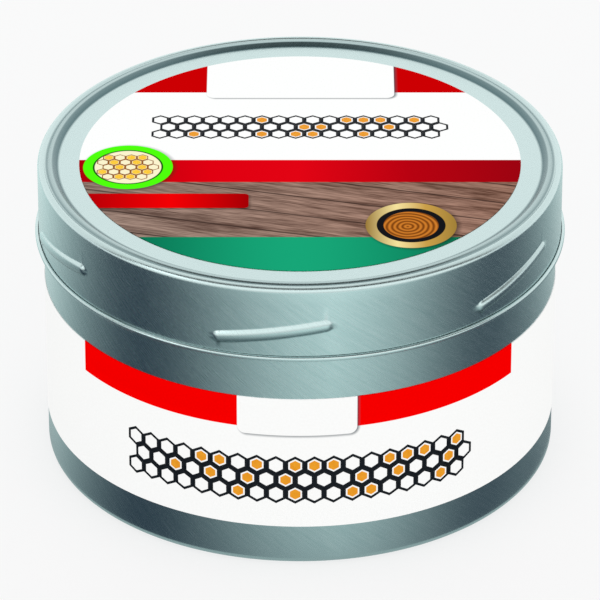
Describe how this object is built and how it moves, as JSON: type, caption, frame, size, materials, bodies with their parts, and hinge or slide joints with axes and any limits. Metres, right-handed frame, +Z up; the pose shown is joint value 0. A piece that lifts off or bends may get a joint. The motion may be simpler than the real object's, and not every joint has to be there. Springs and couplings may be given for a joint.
{
  "type": "shoe polish tin",
  "caption": "Round tinplate wax tin with a sunk-panel twist-off lid, slanted thread grooves in its skirt, a printed wrap label, a round lid label and a paste wax fill.",
  "frame": {"origin": "centre of the base, on the surface that the tin stands on", "axes": "+Z up along the tin's axis, -Y towards the front, where the labels read upright"},
  "size_m": [0.1024, 0.1024, 0.0612],
  "materials": {
    "can_tinplate": "diagonally brushed tinplate",
    "lid_tinplate": "diagonally brushed tinplate",
    "wrap_label": "coated printed paper",
    "round_label": "coated printed paper",
    "lining_compound": "matt cured compound",
    "paste_wax": "soft satin wax"
  },
  "bodies": {
    "can": {"can_body": "can_tinplate", "wax_fill": "paste_wax", "body_label": "wrap_label"},
    "seal": {"seal_ring": "lining_compound"},
    "lid": {"lid": "lid_tinplate", "lid_label": "round_label"}
  },
  "joints": [
    {"name": "lid_lift", "type": "slide", "parent": "can", "child": "seal", "axis": [0, 0, 1], "range_m": [0, 0.05]},
    {"name": "lid_turn", "type": "hinge", "parent": "seal", "child": "lid", "pos_m": [0, 0, 0.0601], "axis": [0, 0, 1], "range_deg": [0, 30]}
  ]
}
